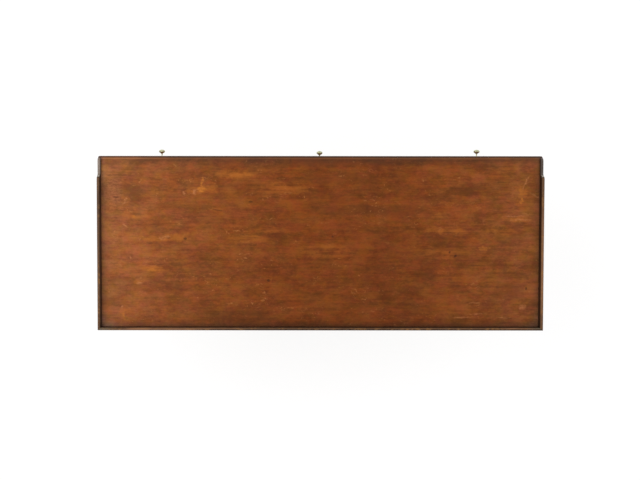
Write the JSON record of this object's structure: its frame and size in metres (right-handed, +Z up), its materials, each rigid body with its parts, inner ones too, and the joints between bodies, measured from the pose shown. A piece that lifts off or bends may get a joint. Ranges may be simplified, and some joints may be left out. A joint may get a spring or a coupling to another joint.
{
  "type": "writing desk",
  "caption": "Kneehole writing desk with a low three-quarter gallery, reeded tapering legs, cockbeaded drawers that slide out, and small turned brass knobs.",
  "frame": {"origin": "on the floor, under the middle of the whole desk, knobs included", "axes": "+X along the desk to the right of someone who sits at it, +Y away from them to the back, +Z up"},
  "size_m": [1.524, 0.6234, 0.775],
  "materials": {
    "polished_wood": "antiqued red-brown mahogany, satin wax polish, darker at the edges",
    "carcase_wood": "planed secondary wood, unpolished",
    "lining_wood": "planed oak drawer lining, light wax",
    "brass": "turned, softly aged",
    "glide_nylon": "plain"
  },
  "bodies": {
    "case": {"desk_top": "polished_wood", "gallery_back": "polished_wood", "gallery_left": "polished_wood", "gallery_right": "polished_wood", "leg_front_left": "polished_wood", "leg_front_right": "polished_wood", "leg_back_left": "polished_wood", "leg_back_right": "polished_wood", "back_apron": "polished_wood", "end_apron_left": "polished_wood", "end_apron_right": "polished_wood", "front_top_rail": "polished_wood", "front_rail_left": "polished_wood", "front_rail_centre": "polished_wood", "front_rail_right": "polished_wood", "stile_left": "polished_wood", "stile_right": "polished_wood", "knee_bracket_left": "polished_wood", "knee_bracket_right": "polished_wood", "partition_left": "carcase_wood", "partition_right": "carcase_wood", "runners_left": "carcase_wood", "runners_centre": "carcase_wood", "runners_right": "carcase_wood", "kickers_left": "carcase_wood", "kickers_centre": "carcase_wood", "kickers_right": "carcase_wood", "drawer_guide_left": "carcase_wood", "drawer_guide_right": "carcase_wood", "drawer_stops": "carcase_wood", "glue_blocks": "carcase_wood", "leg_glides": "glide_nylon"},
    "drawer_left": {"drawer_front_left": "polished_wood", "drawer_side_left_left": "lining_wood", "drawer_side_right_left": "lining_wood", "drawer_back_left": "lining_wood", "drawer_bottom_left": "lining_wood", "cockbead_left": "polished_wood", "knob_left": "brass"},
    "drawer_centre": {"drawer_front_centre": "polished_wood", "drawer_side_left_centre": "lining_wood", "drawer_side_right_centre": "lining_wood", "drawer_back_centre": "lining_wood", "drawer_bottom_centre": "lining_wood", "cockbead_centre": "polished_wood", "knob_centre": "brass"},
    "drawer_right": {"drawer_front_right": "polished_wood", "drawer_side_left_right": "lining_wood", "drawer_side_right_right": "lining_wood", "drawer_back_right": "lining_wood", "drawer_bottom_right": "lining_wood", "cockbead_right": "polished_wood", "knob_right": "brass"}
  },
  "joints": [
    {"name": "drawer_left_slide", "type": "slide", "parent": "case", "child": "drawer_left", "axis": [0, -1, 0], "range_m": [0, 0.38]},
    {"name": "drawer_centre_slide", "type": "slide", "parent": "case", "child": "drawer_centre", "axis": [0, -1, 0], "range_m": [0, 0.38]},
    {"name": "drawer_right_slide", "type": "slide", "parent": "case", "child": "drawer_right", "axis": [0, -1, 0], "range_m": [0, 0.38]}
  ]
}
